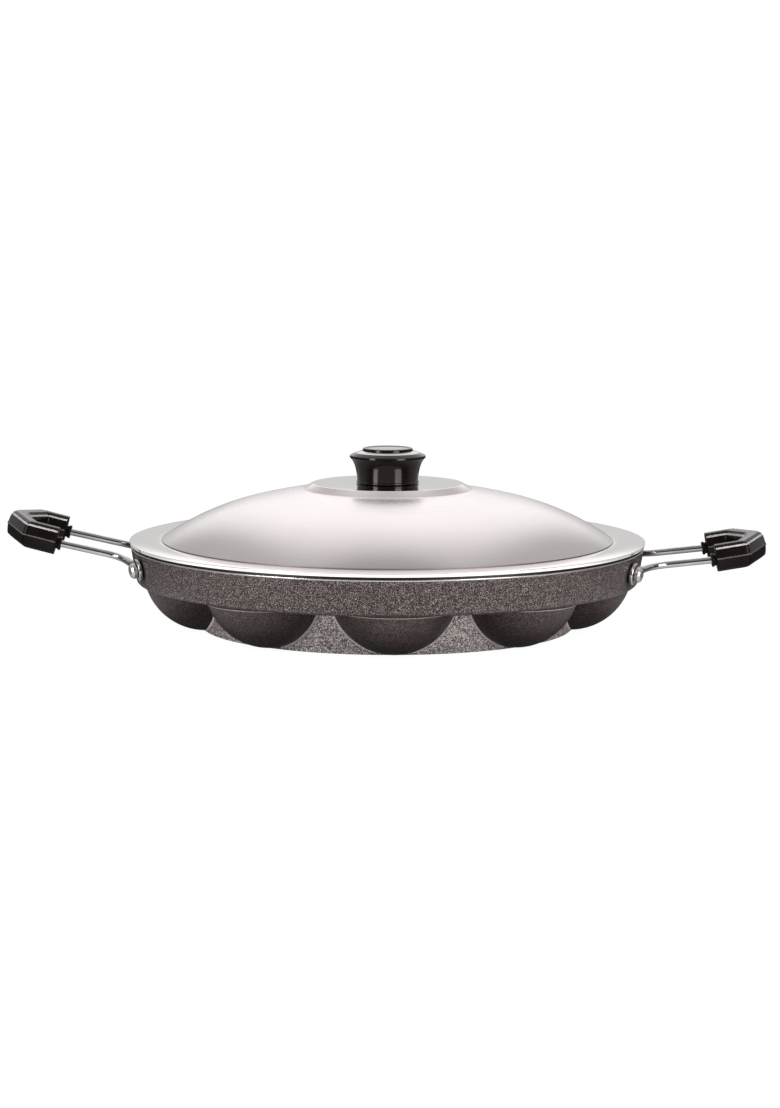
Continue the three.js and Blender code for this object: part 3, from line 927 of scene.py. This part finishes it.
def lid_knob():
    bead = KNOB_BASE_RADIUS + KNOB_BEAD
    socket = INSERT_RADIUS + BORE_GAP
    lip_foot = KNOB_LIP_UNDER + KNOB_LIP_STEP
    flare_end = (KNOB_LIP_RADIUS - KNOB_LIP_STEP, KNOB_LIP_UNDER)
    flare_start = (KNOB_BASE_RADIUS, KNOB_BEAD_HEIGHT)
    flare = bezier(flare_start, (bead, KNOB_FLARE * KNOB_LIP_UNDER), flare_end, FLARE_STEPS)
    profile = rounded([
        (socket, 0, 0),
        (bead, 0, KNOB_ROUND),
        (bead, KNOB_BEAD_HEIGHT / 2 + KNOB_ROUND, KNOB_ROUND),
        *[(r, z, 0) for r, z in flare],
        (KNOB_LIP_RADIUS, lip_foot, KNOB_ROUND),
        (KNOB_LIP_RADIUS, lip_foot + KNOB_LIP_BAND, KNOB_ROUND),
        (KNOB_TOP_RADIUS, KNOB_HEIGHT - KNOB_CROWN, 2 * KNOB_ROUND),
        (CAP_RADIUS + BORE_GAP, KNOB_HEIGHT, KNOB_ROUND),
        (CAP_RADIUS + BORE_GAP, CAP_SEAT, 0),
        (0, CAP_SEAT, 0),
    ])
    inside = [(0, INSERT_LENGTH + SEAT_GAP), (socket, INSERT_LENGTH + SEAT_GAP)]
    knob = solid("knob_moulding", lifted(turned([*profile, *inside], KNOB_FACETS, closed=True)))
    dress(knob, [MOULDING, TRIM_METAL], "lid", "black_moulding", "lid_knob")
    trim_foot = KNOB_BASE + KNOB_HEIGHT - KNOB_CROWN

    def choose(centre, normal):
        return TRIM_METAL if centre.z > trim_foot and centre.xy.length > CAP_RADIUS + BORE_GAP else None

    mark_faces(knob, choose)


def knob_cap():
    bottom = CAP_SEAT + SEAT_GAP
    top = KNOB_HEIGHT + CAP_PROUD
    dish = CAP_RADIUS - CAP_BEZEL
    profile = rounded([
        (0, bottom, 0),
        (CAP_RADIUS, bottom, KNOB_ROUND),
        (CAP_RADIUS, top, CAP_EDGE),
        (dish, top, KNOB_ROUND),
        (dish - CAP_DISH, top - CAP_DISH, KNOB_ROUND),
        (0, top - CAP_DISH, 0),
    ])
    cap = solid("cap_disc", lifted(turned(profile, KNOB_FACETS)))
    dress(cap, [CAP_METAL, MOULDING], "lid", "cap_metal", "knob_cap")
    mark_faces(cap, lambda centre, normal: MOULDING if centre.xy.length > dish - NEAR else None)


def knob_washer():
    edge = WASHER_THICKNESS / 4
    section = oblong(SCREW_RADIUS + BORE_GAP, WASHER_TOP - WASHER_THICKNESS, WASHER_RADIUS, WASHER_TOP)
    ring = rounded([(r, z, edge) for r, z in section], closed=True)
    washer = solid("washer_plain", lifted(turned(ring, SMALL_FACETS, closed=True)))
    dress(washer, [SCREW_STEEL], "lid", "screw_steel", "knob_washer")


def knob_screw():
    bottom = SCREW_HEAD_TOP - SCREW_HEAD_HEIGHT
    profile = rounded([
        (0, bottom, 0),
        (SCREW_HEAD_RADIUS, bottom, SCREW_HEAD_HEIGHT * SCREW_HEAD_DOME),
        (SCREW_HEAD_RADIUS, SCREW_HEAD_TOP, KNOB_ROUND),
        (SCREW_RADIUS, SCREW_HEAD_TOP, 0),
        (SCREW_RADIUS, SCREW_REACH, SCREW_RADIUS / 4),
        (0, SCREW_REACH, 0),
    ])
    screw = solid("screw_pan_head", lifted(turned(profile, SMALL_FACETS)))
    half_length, half_width = SLOT_LENGTH / 2, SLOT_WIDTH / 2
    outline = oblong(-half_length, -half_width, half_length, half_width)
    slot = lofted([[(x, y, z) for x, y in outline] for z in (bottom - OVERLAP, bottom + SLOT_DEPTH)])
    for turn in (0, pi / 2):
        combine(screw, lifted(moved(slot, Matrix.Rotation(turn, 4, "Z"))), "DIFFERENCE")
    dress(screw, [SCREW_STEEL], "lid", "screw_steel", "knob_screw")


# Handles


def eye_point(handle):
    """Where the round wire's axis would lie on a rivet's."""
    return rivet_frame(handle, 1) @ Vector((0, 0, SEAT_GAP + WIRE_RADIUS))


def leg_frame(handle):
    """X runs out from above the line between the eyes, up the slope of the legs, and Y runs across."""
    eye = eye_point(handle)
    start = Matrix.Translation((eye.x, 0, eye.z + handle["lift"]))
    return start @ Matrix.Rotation(-radians(handle["rise"]), 4, "Y")


def grip_frame(handle):
    """The same from the ends of the legs, at the tilt of the grip."""
    bend = Matrix.Rotation(-radians(handle["tilt"] - handle["rise"]), 4, "Y")
    return leg_frame(handle) @ Matrix.Translation((handle["leg"], 0, 0)) @ bend


def bent_path(corners):
    """Points along straight runs joined by bends. Each corner has a point and the radius of its bend."""
    points = [corners[0][0]]
    for (before, _), (here, bend), (after, _) in zip(corners, corners[1:], corners[2:]):
        inward = (before - here).normalized()
        onward = (after - here).normalized()
        set_back = bend / tan(inward.angle(onward) / 2)
        points += bezier(here + inward * set_back, here, here + onward * set_back, BEND_STEPS)
    return points + [corners[-1][0]]


def evenly(points, spacing):
    """Points a steady distance apart along a polyline."""
    lengths = [0]
    for a, b in zip(points, points[1:]):
        lengths.append(lengths[-1] + (b - a).length)
    count = round(lengths[-1] / spacing)
    even, leg = [], 0
    for i in range(count + 1):
        reach = lengths[-1] * i / count
        while leg < len(points) - 2 and lengths[leg + 1] < reach:
            leg += 1
        share = (reach - lengths[leg]) / (lengths[leg + 1] - lengths[leg])
        even.append(points[leg].lerp(points[leg + 1], share))
    return even


GRIP_OUTER = WIRE_HALF_SPAN + ARM_WIDTH / 2
GRIP_INNER = WIRE_HALF_SPAN - ARM_WIDTH / 2
NOSE_SLOPE = GRIP_CHAMFER / (GRIP_OUTER - NOSE_HALF)


def nose_reach(across, depth):
    """How far out the sloping side of the nose is, at a distance across and a depth in from its face."""
    return GRIP_LENGTH - NOSE_SLOPE * (across - NOSE_HALF) - depth * hypot(1, NOSE_SLOPE)


def wire_path(handle):
    """The wire's axis, from one eye round through the grip to the other, before the handle's turn."""
    legs, grip = leg_frame(handle), grip_frame(handle)
    along = radians(handle["angle"])
    clear = RIVET_HEAD_RADIUS + BORE_GAP
    eye_y = eye_point(handle).y
    start_x = clear * sin(along)
    start_y = eye_y - clear * cos(along)
    corner_x = (eye_y - WIRE_HALF_SPAN) * tan(along)
    middle = ARM_WIDTH / 2

    def half(side):
        return [
            (legs @ Vector((start_x, side * start_y, -handle["lift"])), 0),
            (legs @ Vector((corner_x, side * WIRE_HALF_SPAN, 0)), WIRE_BEND),
            (grip @ Vector((0, side * WIRE_HALF_SPAN, 0)), WIRE_KINK),
            (grip @ Vector((nose_reach(WIRE_HALF_SPAN, middle), side * WIRE_HALF_SPAN, 0)), WIRE_GRIP_BEND),
        ]

    nose = (grip @ Vector((nose_reach(0, middle), 0, 0)), WIRE_GRIP_BEND)
    return evenly(bent_path(half(1) + [nose] + half(-1)[::-1]), WIRE_SPACING)


def smooth_step(share):
    share = min(max(share, 0), 1)
    return share * share * (3 - 2 * share)


def handle_wire(word, handle):
    """The wire, round along its length and beaten flat into a neck before each eye."""
    path = wire_path(handle)
    last = len(path) - 1
    normals = {side: rivet_frame(handle, side).to_3x3() @ Vector((0, 0, 1)) for side in (1, -1)}

    def roundness(i):
        return smooth_step(min(i, last - i) * WIRE_SPACING / EYE_NECK_LENGTH)

    def flattened(i, offset):
        normal = normals[1 if i < last / 2 else -1]
        tangent = (path[min(i + 1, last)] - path[max(i - 1, 0)]).normalized()
        side = normal.cross(tangent).normalized()
        thick = 1 - (1 - EYE_THICKNESS / 2 / WIRE_RADIUS) * (1 - roundness(i))
        wide = 1 + (EYE_NECK_HALF / WIRE_RADIUS - 1) * (1 - roundness(i))
        return offset + side * offset.dot(side) * (wide - 1) + normal * offset.dot(normal) * (thick - 1)

    sink = WIRE_RADIUS - EYE_THICKNESS / 2
    sunk = [p - normals[1 if i < last / 2 else -1] * sink * (1 - roundness(i)) for i, p in enumerate(path)]
    tube = swept(sunk, WIRE_RADIUS, WIRE_SIDES, flattened)
    wire = solid(f"wire_{word}", moved(tube, handle_turn(handle)))
    top = SEAT_GAP + EYE_THICKNESS
    plate = rounded(
        [(0, SEAT_GAP, 0), (EYE_RADIUS, SEAT_GAP, EYE_ROUND), (EYE_RADIUS, top, EYE_ROUND), (0, top, 0)]
    )
    for side in (-1, 1):
        combine(wire, moved(turned(plate, SMALL_FACETS), rivet_place(handle, side)), "UNION")
        combine(wire, rivet_hole(handle, side, SEAT_GAP, top), "DIFFERENCE")
    dress(wire, [WIRE_STEEL], "pan", "wire_steel", f"handle_wire_{word}")


def rivet(name, handle, side):
    """A rivet through the wall, with a domed head over the wire's eye and a low tail inside."""
    head_foot = SEAT_GAP + EYE_THICKNESS + SEAT_GAP
    tail_foot = -WALL_THICKNESS - SEAT_GAP
    tail_low = tail_foot - RIVET_TAIL_HEIGHT
    profile = rounded([
        (0, tail_low, 0),
        (RIVET_TAIL_RADIUS, tail_low, RIVET_TAIL_HEIGHT * RIVET_TAIL_DOME),
        (RIVET_TAIL_RADIUS, tail_foot, RIVET_TAIL_EDGE),
        (RIVET_SHANK_RADIUS, tail_foot, 0),
        (RIVET_SHANK_RADIUS, head_foot, 0),
        *[(RIVET_HEAD_RADIUS * r, head_foot + RIVET_HEAD_HEIGHT * z, edge) for r, z, edge in RIVET_HEAD],
    ])
    shape = moved(turned(profile, SMALL_FACETS), rivet_place(handle, side))
    dress(solid(f"{name}_head", shape), [RIVET_METAL], "pan", "rivet_metal", name)


def grip_corners():
    """Corners of the grip's outline, each with the radius that it is rounded to."""
    side = [
        (0, GRIP_OUTER, GRIP_EDGE),
        (nose_reach(GRIP_OUTER, 0), GRIP_OUTER, GRIP_CORNER),
        (GRIP_LENGTH, NOSE_HALF, NOSE_ROUND),
    ]
    recess = [
        (nose_reach(NOSE_HALF, ARM_WIDTH), NOSE_HALF, NOSE_ROUND),
        (nose_reach(GRIP_INNER, ARM_WIDTH), GRIP_INNER, GRIP_CORNER),
        (0, GRIP_INNER, GRIP_EDGE),
    ]
    mirrored = [[(x, -y, radius) for x, y, radius in points][::-1] for points in (side, recess)]
    return side + mirrored[0] + mirrored[1] + recess


def inset_outline(inset):
    """The grip's outline drawn in by a distance, apart from the flat arm ends, with its corners rounded."""
    corners = grip_corners()
    count = len(corners)
    lines = []
    for i in range(count):
        a, b = Vector(corners[i][:2]), Vector(corners[(i + 1) % count][:2])
        along = (b - a).normalized()
        inward = Vector((along.y, -along.x))
        flat_end = a.x == 0 and b.x == 0
        lines.append((a + inward * (0 if flat_end else inset), along))
    drawn = []
    for i in range(count):
        (a, along_a), (b, along_b) = lines[i - 1], lines[i]
        reach = (b - a).cross(along_b) / along_a.cross(along_b)
        corner = a + along_a * reach
        drawn.append((corner.x, corner.y, corners[i][2]))
    return rounded(drawn, closed=True)


def grip_levels():
    """Insets and levels all the way up a grip's side."""
    lower = [(inset, -level, radius) for inset, level, radius in GRIP_SIDE[::-1]]
    return rounded(lower + GRIP_SIDE, steps=GRIP_STEPS)


def grip_highlights(place):
    """The choice of a grip's finish: painted highlights on the parting ridge and the bevel, but not on the
    arm ends.
    """
    flatten = place.inverted()

    def choose(centre, normal):
        x, _, z = flatten @ centre
        lean = (flatten.to_3x3() @ normal).z
        level = z - GRIP_LIFT
        if x > ARM_END and abs(level) < RIDGE_HALF and abs(lean) < RIDGE_SLANT:
            return RIDGE_HIGHLIGHT_MOULDING
        on_bevel = level > BEVEL_LEVEL - BEVEL_DEPTH and BEVEL_SLANT_LOW < lean < BEVEL_SLANT_HIGH
        return BEVEL_HIGHLIGHT_MOULDING if x > ARM_END and on_bevel else None

    return choose


def handle_grip(word, handle):
    """A horseshoe grip with a collar round each leg of the wire, and a channel that the wire fills."""
    rows = [[(x, y, z + GRIP_LIFT) for x, y in inset_outline(inset)] for inset, z in grip_levels()]
    place = handle_turn(handle) @ grip_frame(handle)
    grip = solid(f"grip_{word}", moved(lofted(rows), place))
    collar = rounded([
        (0, -COLLAR_LENGTH, 0),
        (COLLAR_RADIUS, -COLLAR_LENGTH, COLLAR_EDGE),
        (COLLAR_RADIUS, COLLAR_FLANGE - COLLAR_LENGTH, COLLAR_EDGE),
        (COLLAR_NECK_RADIUS, COLLAR_FLANGE - COLLAR_LENGTH, COLLAR_FILLET),
        (COLLAR_NECK_RADIUS, COLLAR_LENGTH, 0),
        (0, COLLAR_LENGTH, 0),
    ])
    along = Matrix.Rotation(pi / 2, 4, "Y")
    for side in (-1, 1):
        on_leg = Matrix.Translation((0, side * WIRE_HALF_SPAN, 0)) @ along
        neck = moved(turned(collar, COLLAR_FACETS), on_leg)
        combine(grip, moved(neck, place), "UNION")
    channel = swept(wire_path(handle), WIRE_RADIUS + BORE_GAP, WIRE_SIDES)
    combine(grip, moved(channel, handle_turn(handle)), "DIFFERENCE")
    finishes = [GRIP_MOULDING, RIDGE_HIGHLIGHT_MOULDING, BEVEL_HIGHLIGHT_MOULDING]
    dress(grip, finishes, "pan", "black_moulding", f"handle_grip_{word}")
    mark_faces(grip, grip_highlights(place))


# Stage, light and camera

VIEW_TARGET = (1.19, 0, 32.03)
VIEW_DISTANCE = 1383
VIEW_ELEVATION = 7.6
VIEW_ROLL = 0.235
VIEW_LENS = 100.49
VIEW_METRES = 100
FLOOR_HALF = 30000
FLOOR_PAINT = (0.1, 0.1, 0.1, 1)
FLOOR_GLOW = 0.96
WHITE = (1, 1, 1, 1)
BACKDROP_GLOW = 1.05
STUDIO_GLOW = 4

# Light that reflections see on the floor, by metres from the pool's centre and from the pan's
POOL_CENTRE = (0, -0.14, 0)
POOL_LEVELS = [(0.16, 0.95), (0.22, 0.25), (0.34, 0.06)]
PAN_SHADE = [(0.07, 0.6), (0.076, 0.06), (0.1, 0.06), (0.14, 1)]

# Light that reflections see round about, by height from straight down, 0, to straight up, 1
SCREEN_LEVELS = [
    (0.5, 0.17), (0.574, 0.185), (0.6, 0.335), (0.77, 0.37), (0.86, 0.35),
    (0.92, 0.285), (0.962, 0.2), (0.974, 0.13), (1, 0.1),
]
WALL_LEVELS = [(0.5, 0.12), (0.7, 0.15), (0.9, 0.155), (1, 0.11)]
FRONT_LEVELS = [(0.5, 0.012), (0.75, 0.015), (0.9, 0.08), (1, 0.1)]
# The screen's share by how far a direction is to either side, and where front gives way to back
SCREEN_SPREAD = [(0.14, 1), (0.24, 0.72), (0.36, 0)]
BACK_FROM, BACK_WHOLLY = -0.3, 0.1

# Lamps: place, target, width, height and watts
LAMPS = {
    "lid_screen_front": ((0, -1300, 700), (0, 0, 60), 2400, 1500, 8),
    "lid_screen_under": ((0, 0, 1), (0, 0, 100), 2400, 2400, 8),
    "overhead": ((0, -900, 800), (0, 0, 40), 1400, 500, 6),
    "strip_left": ((-420, -400, 230), (0, 0, 230), 160, 460, 2),
    "strip_right": ((360, -420, 230), (0, 0, 230), 240, 460, 2.2),
}


def place_camera():
    data = bpy.data.cameras.new("camera")
    data.lens = VIEW_LENS
    data.clip_end = VIEW_METRES
    camera = new_object("camera", data)
    rise = radians(VIEW_ELEVATION)
    back = Vector((0, -cos(rise), sin(rise))) * VIEW_DISTANCE
    turn = Matrix.Rotation(pi / 2 - rise, 4, "X") @ Matrix.Rotation(radians(VIEW_ROLL), 4, "Z")
    camera.matrix_world = Matrix.Translation((Vector(VIEW_TARGET) + back) * MM) @ turn
    bpy.context.scene.camera = camera


def empty_tree(owner):
    owner.use_nodes = True
    owner.node_tree.nodes.clear()
    return owner.node_tree


def seen_as(tree, plain, reflected):
    """One look for the camera and another for reflections."""
    by_camera = add(tree, "LightPath", {}, "Is Camera Ray")
    return add(tree, "MixShader", {0: by_camera, 1: reflected, 2: plain})


def lay_floor():
    """A plain pale floor, clear from below. Reflections see a pool of light and shade under the pan."""
    corners = [Vector((x, y, 0)) * FLOOR_HALF for x, y in oblong(-1, -1, 1, 1)]
    floor = solid("floor", (corners, [[0, 1, 2, 3]]))
    material = bpy.data.materials.new("floor")
    tree = empty_tree(material)
    paint = add(tree, "BsdfDiffuse", {"Color": FLOOR_PAINT})
    glow = add(tree, "Emission", {"Color": WHITE, "Strength": FLOOR_GLOW})
    pale = add(tree, "AddShader", {0: paint, 1: glow})
    where = add(tree, "TexCoord", {}, "Object")
    from_pan = vectors(tree, "LENGTH", "Value", where)
    from_pool = vectors(tree, "DISTANCE", "Value", where, POOL_CENTRE)
    shade = ramp(tree, from_pan, PAN_SHADE)
    pool = ramp(tree, from_pool, POOL_LEVELS)
    pool = blend_colours(tree, "MULTIPLY", 1, pool, shade)
    bounce = add(tree, "Emission", {"Color": pool, "Strength": 1})
    above = seen_as(tree, pale, bounce)
    clear = add(tree, "BsdfTransparent", {})
    behind = add(tree, "NewGeometry", {}, "Backfacing")
    shown = add(tree, "MixShader", {0: behind, 1: above, 2: clear})
    add(tree, "OutputMaterial", {"Surface": shown})
    floor.data.materials.append(material)


def light_world():
    """A plain white backdrop. Reflections see a screen behind, dimmer walls and a dark room in front."""
    world = bpy.data.worlds.new("studio")
    bpy.context.scene.world = world
    tree = empty_tree(world)
    direction = add(tree, "TexCoord", {}, "Generated")
    axes = add(tree, "SeparateXYZ", {"Vector": direction}).node.outputs
    height = share_between(tree, axes["Z"], -1, 1)
    depth = share_between(tree, axes["Y"], BACK_FROM, BACK_WHOLLY)
    aside = maths(tree, "ABSOLUTE", axes["X"])
    screen = ramp(tree, height, SCREEN_LEVELS)
    walls = ramp(tree, height, WALL_LEVELS)
    spread = ramp(tree, aside, SCREEN_SPREAD)
    back = blend_colours(tree, "MIX", spread, walls, screen)
    front = ramp(tree, height, FRONT_LEVELS)
    around = blend_colours(tree, "MIX", depth, front, back)
    light = add(tree, "Background", {"Color": around, "Strength": STUDIO_GLOW})
    white = add(tree, "Background", {"Color": WHITE, "Strength": BACKDROP_GLOW})
    add(tree, "OutputWorld", {"Surface": seen_as(tree, white, light)})


def softbox(name, place, target, width, height, power):
    data = bpy.data.lights.new(name, "AREA")
    data.shape = "RECTANGLE"
    data.size, data.size_y = width * MM, height * MM
    data.energy = power
    lamp = new_object(name, data)
    lamp.location = Vector(place) * MM
    lamp.rotation_mode = "QUATERNION"
    lamp.rotation_quaternion = (Vector(target) - Vector(place)).to_track_quat("-Z", "Y")
    lamp.visible_camera = False
    return lamp


def light_boxes(lid):
    """Two screens for the lid alone, a soft light above that reflections don't show, and two strips."""
    lamps = {name: softbox(name, *lamp) for name, lamp in LAMPS.items()}
    lid_alone = bpy.data.collections.new("lid_alone")
    lid_alone.objects.link(lid)
    for name in ("lid_screen_front", "lid_screen_under"):
        lamps[name].light_linking.receiver_collection = lid_alone
    lamps["overhead"].visible_glossy = False


pan_body()
lid = lid_shell()
lid_knob()
knob_cap()
knob_washer()
knob_screw()
for word, handle in HANDLES.items():
    handle_wire(word, handle)
    handle_grip(word, handle)
    rivet(f"rivet_{word}_front", handle, handle["front"])
    rivet(f"rivet_{word}_rear", handle, -handle["front"])
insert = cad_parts["knob_insert"]
insert.data.materials.clear()
insert.data.materials.append(BRASS)
place_camera()
lay_floor()
light_world()
light_boxes(lid)
bpy.context.scene.view_settings.view_transform = "Standard"
